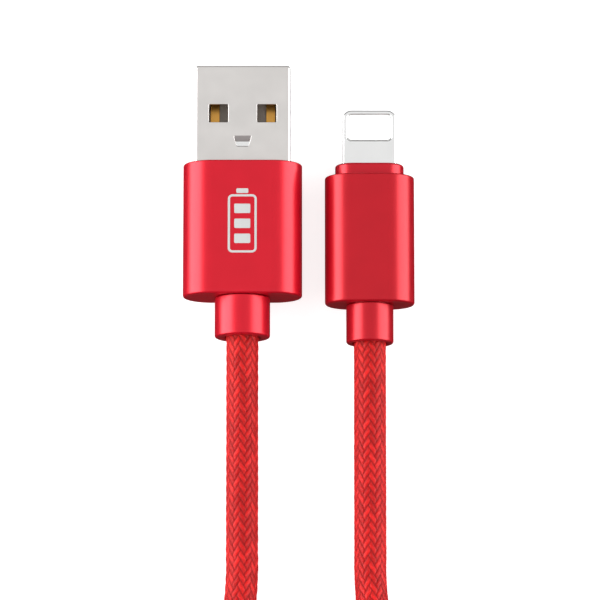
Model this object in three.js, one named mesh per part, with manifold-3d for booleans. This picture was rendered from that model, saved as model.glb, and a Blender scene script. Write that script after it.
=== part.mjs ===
// A braided charging cable with a USB-A plug at one end and a slim 8-pin plug at the other.
// Millimetres, +Z up. The two plugs lie side by side on z = 0 and point along +Y. The cord leaves them
// along -Y, and its spare length is wound into a tied hank in line with the plugs.
import * as THREE from 'three';
import { mergeVertices } from 'three/addons/utils/BufferGeometryUtils.js';
import Module from 'manifold-3d';

const wasm = await Module();
wasm.setup();

// ---------------------------------------------------------------- driving dimensions
const FIT_GAP = 0.1; // between pieces that touch
const CASE_GAP = 0.05; // between a plug's moulding and the case drawn over it
const WIRE_RADIUS = 0.4;

const cord = { diameter: 4.0, sides: 10, leadSteps: 18 };

const usb = {
  axisX: -7.025,
  axisZ: 3.65,
  tipY: 17.53,
  shell: { width: 12.0, height: 4.5, sheet: 0.3, corner: 0.5, length: 18.75, exposed: 12.39 },
  window: { inner: 1.8, outer: 4.25, fromTip: 5.0, length: 2.3 },
  lance: { fromTip: 9.05, length: 1.35, frontWidth: 2.2, rearWidth: 1.5, depth: 0.7 },
  tongue: { width: 11.1, topZ: -0.1, fromTip: 0.4, blockFromTip: 9.0, halfHeight: 1.88 },
  contact: { thickness: 0.3, proud: 0.15, tail: 2.2, powerWidth: 1.1, dataWidth: 1.0 },
  housing: { width: 14.9, height: 7.3, length: 16.9, wall: 0.45, rearWall: 1.0, edge: 0.4 },
  cavity: { width: 9.6, height: 3.2, rearY: -8.5 },
  collar: { diameter: 6.9, length: 5.09, neck: 5.4, neckReach: 2.5, edge: 0.35 },
};

const pin = {
  axisX: 8.875,
  axisZ: 3.3,
  tab: { width: 6.7, thickness: 1.5, exposed: 7.0, buried: 5.0, shank: 1.4, corner: 1.1 },
  window: { width: 5.5, length: 3.3, rim: 0.55, corner: 0.5 },
  slot: { bottomZ: -0.35, topZ: 0.4 },
  insulator: { recess: 0.05, tailBottomZ: -0.28, tailTopZ: 0.33, reach: 0.4 },
  contact: { count: 8, pitch: 0.65, width: 0.4, thickness: 0.15, padZ: -0.72, padLength: 2.5, tail: 1.8 },
  board: { width: 6.4, thickness: 0.55, length: 6.5, topZ: -0.25, chip: 2.2, chipHeight: 0.6 },
  nose: { width: 8.6, height: 4.4, length: 1.58, edge: 0.3 },
  housing: { width: 11.2, height: 6.6, length: 16.25, wall: 0.7, rearWall: 1.0, edge: 0.45, frontY: 3.6 },
  cavity: { width: 6.8, height: 2.8, rearY: -9.7 },
  collar: { diameter: 5.9, length: 4.88, neck: 5.2, neckReach: 2.5, edge: 0.35 },
};

// The cord's spare length, wound round two loops that share the centreline x = centreX. The runs between
// the loops draw in to the waist, and the last loop passes round the outside of the others.
const hank = {
  centreX: 0.925,
  topY: -74,
  run: 43.8,
  innerRadius: 12,
  columnPitch: 4.1,
  layerPitch: 4.05,
  layers: 3,
  waist: 4.5,
  waistReach: 40,
  outerLoop: 6.3,
};
const tie = { width: 10, thickness: 1.2, corner: 1.4, halfWidth: 15.7, height: 14.8 };

// Where each end of the cord lies between its plug and the hank. It sags to the floor behind the
// collar, runs straight, and then spreads to its own side of the hank.
const usbLeadRoute = [
  [-7.025, -9.4, 3.65],
  [-7.025, -13.0, 3.65],
  [-7.025, -17.0, 3.62],
  [-7.025, -21.0, 3.45],
  [-7.025, -25.0, 3.05],
  [-7.025, -29.5, 2.5],
  [-7.025, -34.0, 2.1],
  [-7.025, -38.5, 2.0],
  [-7.025, -43.0, 2.0],
  [-7.03, -46.5, 2.0],
  [-7.35, -50.5, 2.0],
  [-8.25, -53.8, 2.0],
  [-9.25, -56.6, 2.0],
];
const pinLeadRoute = [
  [8.875, -10.3, 3.3],
  [8.875, -14.0, 3.3],
  [8.875, -18.0, 3.26],
  [8.875, -22.0, 3.1],
  [8.875, -26.0, 2.75],
  [8.875, -30.5, 2.3],
  [8.875, -35.0, 2.04],
  [8.875, -39.5, 2.0],
  [8.875, -43.5, 2.0],
  [8.88, -46.5, 2.0],
  [9.2, -50.5, 2.0],
  [10.1, -53.8, 2.0],
  [11.1, -56.6, 2.0],
];

// ---------------------------------------------------------------- materials
const finish = (color, roughness, metalness) =>
  new THREE.MeshStandardMaterial({ color, roughness, metalness });
const anodised = () => finish('#d4253a', 0.34, 0.75);
const nickel = () => finish('#d6d2cc', 0.3, 1.0);
const bright = () => finish('#e8e8e8', 0.2, 1.0);
const gold = () => finish('#c9973a', 0.25, 1.0);
const whitePlastic = () => finish('#ececea', 0.5, 0.0);
const darkPlastic = () => finish('#3a3a3c', 0.55, 0.0);
const redPlastic = () => finish('#c9283a', 0.45, 0.0);
const boardGreen = () => finish('#1f5a38', 0.5, 0.0);
const braid = () => finish('#d8222c', 0.8, 0.0);
const strap = () => finish('#26262a', 0.9, 0.0);
const wireColours = { power: '#c62828', data_minus: '#e6e6e6', data_plus: '#2e8b46', ground: '#1c1c1e' };

// ---------------------------------------------------------------- geometry helpers
/** A closed geometry as a solid that can be joined and cut. */
function toSolid(geometry) {
  const bare = geometry.clone();
  bare.deleteAttribute('normal');
  bare.deleteAttribute('uv');
  const merged = mergeVertices(bare, 1e-5);
  const vertProperties = new Float32Array(merged.attributes.position.array);
  const triVerts = new Uint32Array(merged.index.array);
  return new wasm.Manifold(new wasm.Mesh({ numProp: 3, vertProperties, triVerts }));
}

function toGeometry(solid) {
  const { vertProperties, triVerts } = solid.getMesh();
  const geometry = new THREE.BufferGeometry();
  geometry.setAttribute('position', new THREE.BufferAttribute(new Float32Array(vertProperties), 3));
  geometry.setIndex(new THREE.BufferAttribute(new Uint32Array(triVerts), 1));
  geometry.computeVertexNormals();
  return geometry;
}

/** One geometry with the others cut out of it. */
const cut = (body, ...tools) =>
  toGeometry(tools.reduce((left, tool) => left.subtract(toSolid(tool)), toSolid(body)));

/** Several geometries joined into one. */
const join = (first, ...others) =>
  toGeometry(others.reduce((sum, other) => sum.add(toSolid(other)), toSolid(first)));

/** A box given by its low and high coordinate along each axis. */
function block([x0, x1], [y0, y1], [z0, z1]) {
  const box = new THREE.BoxGeometry(x1 - x0, y1 - y0, z1 - z0);
  return box.translate((x0 + x1) / 2, (y0 + y1) / 2, (z0 + z1) / 2);
}

/** A box centred on x = 0. */
const centredBlock = (width, y, z) => block([-width / 2, width / 2], y, z);

/** A flat-sided outline with full round ends. */
function stadium(width, height) {
  const radius = height / 2;
  const reach = width / 2 - radius;
  const shape = new THREE.Shape();
  shape.absarc(reach, 0, radius, -Math.PI / 2, Math.PI / 2);
  shape.absarc(-reach, 0, radius, Math.PI / 2, 1.5 * Math.PI);
  shape.closePath();
  return shape;
}

/** A rectangle with four equal round corners, centred on (x, y). */
function roundedRectangle(width, height, radius, x = 0, y = 0) {
  const w = width / 2 - radius;
  const h = height / 2 - radius;
  const shape = new THREE.Shape();
  shape.absarc(x + w, y - h, radius, -Math.PI / 2, 0);
  shape.absarc(x + w, y + h, radius, 0, Math.PI / 2);
  shape.absarc(x - w, y + h, radius, Math.PI / 2, Math.PI);
  shape.absarc(x - w, y - h, radius, Math.PI, 1.5 * Math.PI);
  shape.closePath();
  return shape;
}

/** An x-z outline swept back along -Y from frontY, with an optional round on its two end edges. */
function alongY(outline, frontY, length, { segments = 3, edge = 0 } = {}) {
  const geometry = new THREE.ExtrudeGeometry(outline, {
    depth: length - 2 * edge,
    curveSegments: segments,
    bevelEnabled: edge > 0,
    bevelThickness: edge,
    bevelSize: edge,
    bevelOffset: -edge,
    bevelSegments: 2,
  });
  return geometry.rotateX(Math.PI / 2).translate(0, frontY - edge, 0);
}

/** An x-y outline raised from z0 to z1. */
function upright(outline, z0, z1, segments = 3) {
  const options = { depth: z1 - z0, curveSegments: segments, bevelEnabled: false };
  return new THREE.ExtrudeGeometry(outline, options).translate(0, 0, z0);
}

/** A y-z polygon given thickness along X, centred on x. */
function acrossX(points, x, width) {
  const outline = new THREE.Shape(points.map(([y, z]) => new THREE.Vector2(y, z)));
  const geometry = new THREE.ExtrudeGeometry(outline, { depth: width, bevelEnabled: false });
  return geometry.rotateX(Math.PI / 2).rotateZ(Math.PI / 2).translate(x - width / 2, 0, 0);
}

/** A closed ring turned about the Y axis, from [radius, y] corners taken anticlockwise. */
function turned(corners, segments = 28) {
  const closed = [...corners, corners[0]].map(([radius, y]) => new THREE.Vector2(radius, y));
  return new THREE.LatheGeometry(closed, segments);
}

/** A round bar of the given radius that follows a smooth line through the points. */
function barAlong(points, radius, sides, steps) {
  const knots = points.map((point) => new THREE.Vector3(...point));
  const route = new THREE.CatmullRomCurve3(knots, false, 'centripetal');
  const corner = (_, k) => {
    const angle = ((k + 0.5) * 2 * Math.PI) / sides;
    return new THREE.Vector2(radius * Math.cos(angle), radius * Math.sin(angle));
  };
  const section = new THREE.Shape(Array.from({ length: sides }, corner));
  return new THREE.ExtrudeGeometry(section, { steps, extrudePath: route });
}

function piece(name, geometry, material) {
  const mesh = new THREE.Mesh(geometry, material);
  mesh.name = name;
  return mesh;
}

// ---------------------------------------------------------------- pieces that both plugs have
/** The aluminium case: a drawn stadium tube, open in front, with a hole for the collar's neck behind. */
function makeHousing({ width, height, length, wall, rearWall, edge }, frontY, neckDiameter) {
  const outside = alongY(stadium(width, height), frontY, length, { segments: 8, edge });
  const pocketLength = length - rearWall + 1;
  const pocketOutline = stadium(width - 2 * wall, height - 2 * wall);
  const pocket = alongY(pocketOutline, frontY + 1, pocketLength, { segments: 8 });
  const holeDiameter = neckDiameter + 2 * FIT_GAP;
  const neckHole = alongY(stadium(holeDiameter, holeDiameter - 1e-3), frontY, length + 1, { segments: 8 });
  return cut(outside, pocket, neckHole);
}

/** The collar that the cord comes out of. Its narrow neck goes through the housing's rear wall. */
function makeCollar({ diameter, length, neck, neckReach, edge }, housingRearY) {
  const outer = diameter / 2;
  const bore = cord.diameter / 2 + 2 * FIT_GAP;
  const front = housingRearY - FIT_GAP;
  const rear = housingRearY - length;
  return turned([
    [bore, rear],
    [outer - edge, rear],
    [outer, rear + edge],
    [outer, front],
    [neck / 2, front],
    [neck / 2, housingRearY + neckReach],
    [bore, housingRearY + neckReach],
  ]);
}

/** The way through a moulding's rear end: a bore for the cord, and a wider seat for the collar's neck. */
function rearPassage(neck, neckReach, housingRearY, cavityRearY) {
  const bore = cord.diameter + 4 * FIT_GAP;
  const seat = neck + 2 * FIT_GAP;
  const seatFront = housingRearY + neckReach + FIT_GAP;
  return join(
    alongY(stadium(bore, bore - 1e-3), cavityRearY + 0.5, cavityRearY + 0.5 - housingRearY, { segments: 6 }),
    alongY(stadium(seat, seat - 1e-3), seatFront, seatFront - housingRearY, { segments: 6 }),
  );
}

/** Four insulated wires that gather from their solder points into the end of the cord. */
function makeWires(prefix, solderX, solderY, solderZ, gatherY) {
  const gather = 0.56;
  const corners = [
    [-gather, gather],
    [-gather, -gather],
    [gather, -gather],
    [gather, gather],
  ];
  return Object.entries(wireColours).map(([name, colour], k) => {
    const [endX, endZ] = corners[k];
    const points = [
      [solderX[k], solderY, solderZ],
      [solderX[k], solderY - 1.2, solderZ],
      [(solderX[k] + endX) / 2, (solderY + gatherY) / 2 - 0.4, (solderZ + endZ) / 2],
      [endX, gatherY + 1, endZ],
      [endX, gatherY, endZ],
    ];
    return piece(`${prefix}_wire_${name}`, barAlong(points, WIRE_RADIUS, 8, 8), finish(colour, 0.5, 0));
  });
}

// ---------------------------------------------------------------- USB-A plug, axis along local Y
const usbHousingFront = usb.tipY - usb.shell.exposed;
const usbHousingRear = usbHousingFront - usb.housing.length;
const usbContacts = [
  { name: 'power', x: -3.5, width: usb.contact.powerWidth, fromTip: 1.6 },
  { name: 'data_minus', x: -1.0, width: usb.contact.dataWidth, fromTip: 2.6 },
  { name: 'data_plus', x: 1.0, width: usb.contact.dataWidth, fromTip: 2.6 },
  { name: 'ground', x: 3.5, width: usb.contact.powerWidth, fromTip: 1.6 },
];

/** The folded steel shell: four latch windows, and a lance bent in from its upper face. */
function makeUsbShell() {
  const { width, height, sheet, corner, length } = usb.shell;
  const outside = alongY(roundedRectangle(width, height, corner), usb.tipY, length);
  const inside = alongY(
    roundedRectangle(width - 2 * sheet, height - 2 * sheet, corner - sheet),
    usb.tipY + 1,
    length + 2,
  );
  const windowFront = usb.tipY - usb.window.fromTip;
  const windows = [-1, 1].map((side) => {
    const x = [side * usb.window.inner, side * usb.window.outer].sort((a, b) => a - b);
    return block(x, [windowFront - usb.window.length, windowFront], [-height, height]);
  });
  const { fromTip, length: lanceLength, frontWidth, rearWidth, depth } = usb.lance;
  const front = usb.tipY - fromTip;
  const rear = front - lanceLength;
  const opening = new THREE.Shape([
    new THREE.Vector2(-frontWidth / 2, front),
    new THREE.Vector2(-rearWidth / 2, rear),
    new THREE.Vector2(rearWidth / 2, rear),
    new THREE.Vector2(frontWidth / 2, front),
  ]);
  const tube = cut(outside, inside, ...windows, upright(opening, 0, height));
  const top = height / 2;
  const bentTab = [
    [rear - 0.3, top - 0.05],
    [rear - 0.3, top - sheet + 0.05],
    [front - 0.5, top - sheet - depth],
    [front - 0.25, top - depth],
    [rear, top - 0.05],
  ];
  return join(tube, acrossX(bentTab, 0, rearWidth - 0.2));
}

/** The moulded tongue and the block behind it, with a channel for each contact and a pocket for the lance. */
function makeUsbInsulator() {
  const { width, topZ, fromTip, blockFromTip, halfHeight } = usb.tongue;
  const rear = usb.tipY - usb.shell.length + FIT_GAP;
  const blockFront = usb.tipY - blockFromTip;
  const tongue = centredBlock(width, [rear, usb.tipY - fromTip], [-halfHeight, topZ]);
  const rearBlock = centredBlock(width, [rear, blockFront], [-halfHeight, halfHeight]);
  const top = topZ + usb.contact.proud;
  const channels = usbContacts.map(({ x, width: contactWidth, fromTip: start }) => {
    const half = contactWidth / 2 + FIT_GAP;
    return block(
      [x - half, x + half],
      [rear - 1, usb.tipY - start + FIT_GAP],
      [top - usb.contact.thickness - FIT_GAP, top + FIT_GAP],
    );
  });
  const lanceFront = usb.tipY - usb.lance.fromTip;
  const lancePocket = centredBlock(
    usb.lance.frontWidth,
    [lanceFront - usb.lance.length - 0.6, lanceFront + 1],
    [halfHeight - usb.lance.depth - 0.2, halfHeight + 1],
  );
  return cut(join(tongue, rearBlock), ...channels, lancePocket);
}

function makeUsbContacts() {
  const top = usb.tongue.topZ + usb.contact.proud;
  const rear = usb.tipY - usb.shell.length - usb.contact.tail;
  return usbContacts.map(({ name, x, width, fromTip }) => {
    const strip = block(
      [x - width / 2, x + width / 2],
      [rear, usb.tipY - fromTip],
      [top - usb.contact.thickness, top],
    );
    return piece(`usb_contact_${name}`, strip, gold());
  });
}

/** The plastic body that fills the housing round the shell's rear end, the solder points and the wires. */
function makeUsbInnerMould() {
  const { width, height, wall, rearWall } = usb.housing;
  const clear = 2 * (wall + CASE_GAP);
  const rear = usbHousingRear + rearWall + FIT_GAP;
  const body = alongY(stadium(width - clear, height - clear), usbHousingFront, usbHousingFront - rear, {
    segments: 8,
  });
  const shellRear = usb.tipY - usb.shell.length;
  const seatWidth = usb.shell.width + 2 * FIT_GAP;
  const seatHeight = usb.shell.height + 2 * FIT_GAP;
  const shellSeat = alongY(
    roundedRectangle(seatWidth, seatHeight, usb.shell.corner + FIT_GAP),
    usbHousingFront + 1,
    usbHousingFront + 1 - shellRear + FIT_GAP,
  );
  const { width: cavityWidth, height: cavityHeight, rearY } = usb.cavity;
  const cavity = centredBlock(cavityWidth, [rearY, shellRear], [-cavityHeight / 2, cavityHeight / 2]);
  const passage = rearPassage(usb.collar.neck, usb.collar.neckReach, usbHousingRear, rearY);
  return cut(body, shellSeat, cavity, passage);
}

function makeUsbPlug() {
  const plug = new THREE.Group();
  plug.position.set(usb.axisX, 0, usb.axisZ);
  const solderY = usb.tipY - usb.shell.length - 0.6;
  const solderZ = usb.tongue.topZ + usb.contact.proud + WIRE_RADIUS + FIT_GAP;
  const solderX = usbContacts.map(({ x }) => x);
  plug.add(
    piece('usb_shell', makeUsbShell(), nickel()),
    piece('usb_insulator', makeUsbInsulator(), darkPlastic()),
    ...makeUsbContacts(),
    ...makeWires('usb', solderX, solderY, solderZ, usbLeadRoute[0][1] + 0.2),
    piece('usb_inner_mould', makeUsbInnerMould(), redPlastic()),
    piece('usb_housing', makeHousing(usb.housing, usbHousingFront, usb.collar.neck), anodised()),
    piece('usb_collar', makeCollar(usb.collar, usbHousingRear), anodised()),
  );
  return plug;
}

// ---------------------------------------------------------------- 8-pin plug, axis along local Y
const pinNoseFront = pin.housing.frontY + pin.nose.length;
const pinHousingRear = pin.housing.frontY - pin.housing.length;
const tabTip = pinNoseFront + pin.tab.exposed;
const tabRear = pinNoseFront - pin.tab.buried;
const windowFront = tabTip - pin.window.rim;
const windowRear = windowFront - pin.window.length;

/**
 * The polished metal frame: a plate with round tip corners, a window for the contacts, and a slot behind it.
 * The shank that the moulding holds is a little thinner than the tab.
 */
function makeTabFrame() {
  const { width, thickness, shank, corner } = pin.tab;
  const half = width / 2;
  const outline = new THREE.Shape();
  outline.moveTo(-half, tabRear);
  outline.lineTo(half, tabRear);
  outline.absarc(half - corner, tabTip - corner, corner, 0, Math.PI / 2);
  outline.absarc(-half + corner, tabTip - corner, corner, Math.PI / 2, Math.PI);
  outline.closePath();
  const plate = upright(outline, -thickness / 2, thickness / 2);
  const { width: windowWidth, length, corner: windowCorner } = pin.window;
  const windowMiddle = (windowFront + windowRear) / 2;
  const windowOutline = roundedRectangle(windowWidth, length, windowCorner, 0, windowMiddle);
  const slot = centredBlock(windowWidth, [tabRear - 1, windowRear + 1], [pin.slot.bottomZ, pin.slot.topZ]);
  const shankY = [tabRear - 1, pinNoseFront + FIT_GAP / 2];
  const aboveShank = centredBlock(width + 1, shankY, [shank / 2, thickness]);
  const belowShank = centredBlock(width + 1, shankY, [-thickness, -shank / 2]);
  return cut(plate, upright(windowOutline, -thickness, thickness), slot, aboveShank, belowShank);
}

/** One contact: a pad in the lower side of the window, a step up, and a strip back to the circuit board. */
function contactOutline(grow = 0) {
  const { thickness, padZ, padLength, tail } = pin.contact;
  const padFront = windowFront - 0.4;
  const padRear = padFront - padLength;
  const stripTop = padZ + thickness + 0.57;
  return [
    [padFront + grow, padZ - grow],
    [padRear - grow, padZ - grow],
    [padRear - grow, stripTop - thickness - grow],
    [tabRear - tail - grow, stripTop - thickness - grow],
    [tabRear - tail - grow, stripTop + grow],
    [padRear + thickness + grow, stripTop + grow],
    [padRear + thickness + grow, padZ + thickness + grow],
    [padFront + grow, padZ + thickness + grow],
  ];
}

const contactX = Array.from(
  { length: pin.contact.count },
  (_, k) => (k - (pin.contact.count - 1) / 2) * pin.contact.pitch,
);

function makePinInsulator() {
  const { recess, tailBottomZ, tailTopZ, reach } = pin.insulator;
  const face = pin.tab.thickness / 2 - recess;
  const centreY = (windowFront + windowRear) / 2;
  const outline = roundedRectangle(
    pin.window.width - FIT_GAP,
    pin.window.length - FIT_GAP,
    pin.window.corner - FIT_GAP / 2,
    0,
    centreY,
  );
  const puck = upright(outline, -face, face);
  const tail = centredBlock(pin.window.width - FIT_GAP, [tabRear - reach, centreY], [tailBottomZ, tailTopZ]);
  const channelGap = FIT_GAP / 2;
  const channelWidth = pin.contact.width + 2 * channelGap;
  const channels = contactX.map((x) => acrossX(contactOutline(channelGap), x, channelWidth));
  return cut(join(puck, tail), ...channels);
}

function makeBoardAndChip() {
  const { width, thickness, length, topZ, chip, chipHeight } = pin.board;
  const front = tabRear - pin.insulator.reach - FIT_GAP;
  const board = centredBlock(width, [front - length, front], [topZ - thickness, topZ]);
  const chipFront = front - pin.contact.tail - 0.4;
  const chipBottom = topZ + FIT_GAP;
  const chipBody = centredBlock(chip, [chipFront - chip, chipFront], [chipBottom, chipBottom + chipHeight]);
  return [piece('pin_circuit_board', board, boardGreen()), piece('pin_chip', chipBody, darkPlastic())];
}

/** The plastic body inside the housing. Its front end stands proud as the nose that the tab comes out of. */
function makePinInnerMould() {
  const { width, height, wall, rearWall, frontY } = pin.housing;
  const clear = 2 * (wall + CASE_GAP);
  const rear = pinHousingRear + rearWall + FIT_GAP;
  const body = alongY(stadium(width - clear, height - clear), frontY, frontY - rear, { segments: 8 });
  const nose = alongY(stadium(pin.nose.width, pin.nose.height), pinNoseFront, pin.nose.length + 1, {
    segments: 8,
    edge: pin.nose.edge,
  });
  const tabSeat = centredBlock(
    pin.tab.width + 2 * FIT_GAP,
    [tabRear - FIT_GAP, pinNoseFront + 1],
    [-pin.tab.thickness / 2 - FIT_GAP, pin.tab.thickness / 2 + FIT_GAP],
  );
  const { width: cavityWidth, height: cavityHeight, rearY } = pin.cavity;
  const cavity = centredBlock(cavityWidth, [rearY, tabRear], [-cavityHeight / 2, cavityHeight / 2]);
  const passage = rearPassage(pin.collar.neck, pin.collar.neckReach, pinHousingRear, rearY);
  return cut(join(body, nose), tabSeat, cavity, passage);
}

function makePinPlug() {
  const plug = new THREE.Group();
  plug.position.set(pin.axisX, 0, pin.axisZ);
  const contacts = contactX.map((x, k) =>
    piece(`pin_contact_${k + 1}`, acrossX(contactOutline(), x, pin.contact.width), gold()),
  );
  const solderY = tabRear - pin.board.length + 0.9;
  const solderZ = pin.board.topZ + WIRE_RADIUS + FIT_GAP;
  plug.add(
    piece('pin_tab_frame', makeTabFrame(), bright()),
    piece('pin_insulator', makePinInsulator(), whitePlastic()),
    ...contacts,
    ...makeBoardAndChip(),
    ...makeWires('pin', [-2.4, -0.8, 0.8, 2.4], solderY, solderZ, pinLeadRoute[0][1] + 0.2),
    piece('pin_inner_mould', makePinInnerMould(), redPlastic()),
    piece('pin_housing', makeHousing(pin.housing, pin.housing.frontY, pin.collar.neck), anodised()),
    piece('pin_collar', makeCollar(pin.collar, pinHousingRear), anodised()),
  );
  return plug;
}

// ---------------------------------------------------------------- cord
/** The outer shape of the wound hank: round ends, drawn in at the waist, hollowed below for the tie. */
function makeHank() {
  const { centreX, topY, run, innerRadius, columnPitch } = hank;
  const { layerPitch, layers, waist, waistReach, outerLoop } = hank;
  const radius = innerRadius + columnPitch + cord.diameter / 2;
  const middleY = topY - run / 2;
  const sidePoints = 9;
  const side = (direction) =>
    Array.from({ length: sidePoints }, (_, k) => {
      const along = direction * (k / (sidePoints - 1) - 0.5);
      const drawnIn = (waist * (1 + Math.cos(2 * Math.PI * along))) / 2;
      return new THREE.Vector2(centreX + direction * (radius - drawnIn), middleY + along * waistReach);
    });
  const outline = new THREE.Shape();
  outline.absarc(centreX, topY, radius, 0, Math.PI);
  side(-1).forEach((point) => outline.lineTo(point.x, point.y));
  outline.absarc(centreX, topY - run - outerLoop, radius, Math.PI, 2 * Math.PI);
  side(1).forEach((point) => outline.lineTo(point.x, point.y));
  outline.closePath();
  const height = (layers - 1) * layerPitch + cord.diameter;
  const notchY = [middleY - tie.width / 2 - 0.5, middleY + tie.width / 2 + 0.5];
  const notch = block([centreX - 2 * radius, centreX + 2 * radius], notchY, [-1, tie.thickness + 0.3]);
  return cut(upright(outline, 0, height, 9), notch);
}

/** The hook-and-loop strap round the hank's waist. */
function makeTie() {
  const { width, thickness, corner, halfWidth, height } = tie;
  const middleY = hank.topY - hank.run / 2;
  const outside = roundedRectangle(2 * halfWidth, height, corner, hank.centreX, height / 2);
  const inside = roundedRectangle(
    2 * (halfWidth - thickness),
    height - 2 * thickness,
    corner - thickness,
    hank.centreX,
    height / 2,
  );
  const frontY = middleY + width / 2;
  return cut(alongY(outside, frontY, width), alongY(inside, frontY + 1, width + 2));
}

const makeLead = (route) => barAlong(route, cord.diameter / 2, cord.sides, cord.leadSteps);

// ---------------------------------------------------------------- the whole object
const group = new THREE.Group();
group.add(
  makeUsbPlug(),
  makePinPlug(),
  piece('cord_usb_lead', makeLead(usbLeadRoute), braid()),
  piece('cord_pin_lead', makeLead(pinLeadRoute), braid()),
  piece('cord_hank', makeHank(), braid()),
  piece('hank_tie', makeTie(), strap()),
);

export default group;
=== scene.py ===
"""Looks of the braided charging cable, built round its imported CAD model.
Lengths are in millimetres until they become mesh points, which are in metres."""
import math

import bmesh
import bpy
import numpy as np
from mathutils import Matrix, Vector


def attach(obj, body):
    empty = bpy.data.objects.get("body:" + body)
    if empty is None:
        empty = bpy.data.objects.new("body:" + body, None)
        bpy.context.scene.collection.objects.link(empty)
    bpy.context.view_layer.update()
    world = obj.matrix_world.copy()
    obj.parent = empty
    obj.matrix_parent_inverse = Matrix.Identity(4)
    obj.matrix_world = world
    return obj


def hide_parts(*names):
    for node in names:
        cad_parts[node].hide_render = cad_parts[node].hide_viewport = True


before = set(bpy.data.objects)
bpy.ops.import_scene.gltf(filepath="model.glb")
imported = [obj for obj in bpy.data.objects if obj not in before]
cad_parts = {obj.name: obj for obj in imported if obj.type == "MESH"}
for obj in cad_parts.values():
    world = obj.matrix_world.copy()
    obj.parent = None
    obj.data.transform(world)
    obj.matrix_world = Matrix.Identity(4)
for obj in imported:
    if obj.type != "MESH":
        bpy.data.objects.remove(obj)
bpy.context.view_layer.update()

MM = 0.001
UP = np.array([0.0, 0.0, 1.0])

# ---------------------------------------------------------------- dimensions, as in the CAD model
CORD_DIAMETER = 4.0

USB_AXIS = (-7.025, 3.65)
USB_TIP = 17.53
USB_SHELL = {"width": 12.0, "height": 4.5, "sheet": 0.3, "fold": 0.36, "length": 18.75}
USB_WINDOW = {"inner": 1.8, "outer": 4.25, "from_tip": 5.0, "length": 2.3}
USB_LANCE = {"from_tip": 9.05, "length": 1.35, "front": 1.1, "rear": 0.75}
USB_HOUSING = {"width": 14.9, "height": 7.3, "front": 5.14, "rear": -11.76, "wall": 0.45, "edge": 0.3}
USB_COLLAR = {"diameter": 6.9, "front": -11.86, "rear": -16.85, "neck": 5.4, "edge": 0.3}

PIN_AXIS = (8.875, 3.3)
PIN_TIP = 12.18
PIN_TAB = {"width": 6.7, "thickness": 1.5, "rear": 0.18, "corner": 1.1, "edge": 0.2}
PIN_WINDOW = {"width": 5.5, "length": 3.3, "rim": 0.55, "corner": 0.5}
PIN_NOSE = {"width": 8.6, "height": 4.4, "front": 5.18, "edge": 0.3}
PIN_HOUSING = {"width": 11.2, "height": 6.6, "front": 3.6, "rear": -12.65, "wall": 0.7, "edge": 0.35}
PIN_COLLAR = {"diameter": 5.9, "front": -12.75, "rear": -17.53, "neck": 5.2, "edge": 0.3}

REAR_WALL = 1.0
NECK_REACH = 2.5
BORE = 4.4

HANK = {"x": 0.925, "top": -74.0, "run": 43.8, "radius": 12.0, "pitch": 4.1, "layer": 4.05, "lift": 1.45}
WAIST = {"depth": 4.5, "reach": 40.0}
TIE = {"width": 10.0, "thickness": 1.0, "corner": 1.4, "half_width": 15.5, "low": 0.1, "high": 14.8}
LAP = {"under_end": 6.0, "start": -9.0, "end": 10.0, "climb": 14.0}

USB_LEAD = [
    (-7.025, -9.4, 3.65), (-7.025, -13.0, 3.65), (-7.025, -17.0, 3.62), (-7.025, -21.0, 3.45),
    (-7.025, -25.0, 3.05), (-7.025, -29.5, 2.5), (-7.025, -34.0, 2.1), (-7.025, -38.5, 2.0),
    (-7.025, -43.0, 2.0), (-7.03, -46.5, 2.0), (-7.35, -50.5, 2.0), (-8.25, -53.8, 2.0),
    (-9.25, -56.6, 2.0), (-11.0, -60.2, 2.0), (-12.9, -64.0, 2.0), (-14.4, -68.0, 2.0),
]
PIN_LEAD = [
    (8.875, -10.3, 3.3), (8.875, -14.0, 3.3), (8.875, -18.0, 3.26), (8.875, -22.0, 3.1),
    (8.875, -26.0, 2.75), (8.875, -30.5, 2.3), (8.875, -35.0, 2.04), (8.875, -39.5, 2.0),
    (8.875, -43.5, 2.0), (8.88, -46.5, 2.0), (9.2, -50.5, 2.0), (10.1, -53.8, 2.0),
    (11.1, -56.6, 2.0), (12.85, -60.2, 2.0), (14.75, -64.0, 2.0), (16.25, -68.0, 2.0),
]


# ---------------------------------------------------------------- camera
def make_camera():
    """A long lens that looks down on the plugs, a little from the cord's side of straight above."""
    target = Vector((0.16, -11.9, 3.0)) * MM
    elevation = math.radians(79.5)
    distance = 520.8 * MM
    data = bpy.data.cameras.new("camera")
    data.lens = 250
    data.sensor_width = 36
    data.clip_start = 0.01
    data.clip_end = 100
    camera = bpy.data.objects.new("camera", data)
    camera.location = target + distance * Vector((0, -math.cos(elevation), math.sin(elevation)))
    camera.rotation_euler = (target - camera.location).to_track_quat("-Z", "Y").to_euler()
    bpy.context.scene.collection.objects.link(camera)
    bpy.context.scene.camera = camera


# ---------------------------------------------------------------- materials
class Nodes:
    """A node tree, and the few kinds of node that are used here."""

    def __init__(self, tree):
        self.tree = tree

    def node(self, kind, inputs=(), **settings):
        made = self.tree.nodes.new("ShaderNode" + kind)
        for key, value in settings.items():
            setattr(made, key, value)
        for socket, value in dict(inputs).items():
            self.feed(made.inputs[socket], value)
        return made

    def feed(self, socket, value):
        if isinstance(value, bpy.types.NodeSocket):
            self.tree.links.new(value, socket)
        else:
            socket.default_value = value

    def math(self, operation, *values):
        return self.node("Math", dict(enumerate(values)), operation=operation).outputs[0]

    def ranged(self, value, low, high):
        """value from 0 to 1, spread from low to high."""
        return self.node("MapRange", {"Value": value, "To Min": low, "To Max": high}).outputs["Result"]


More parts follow.
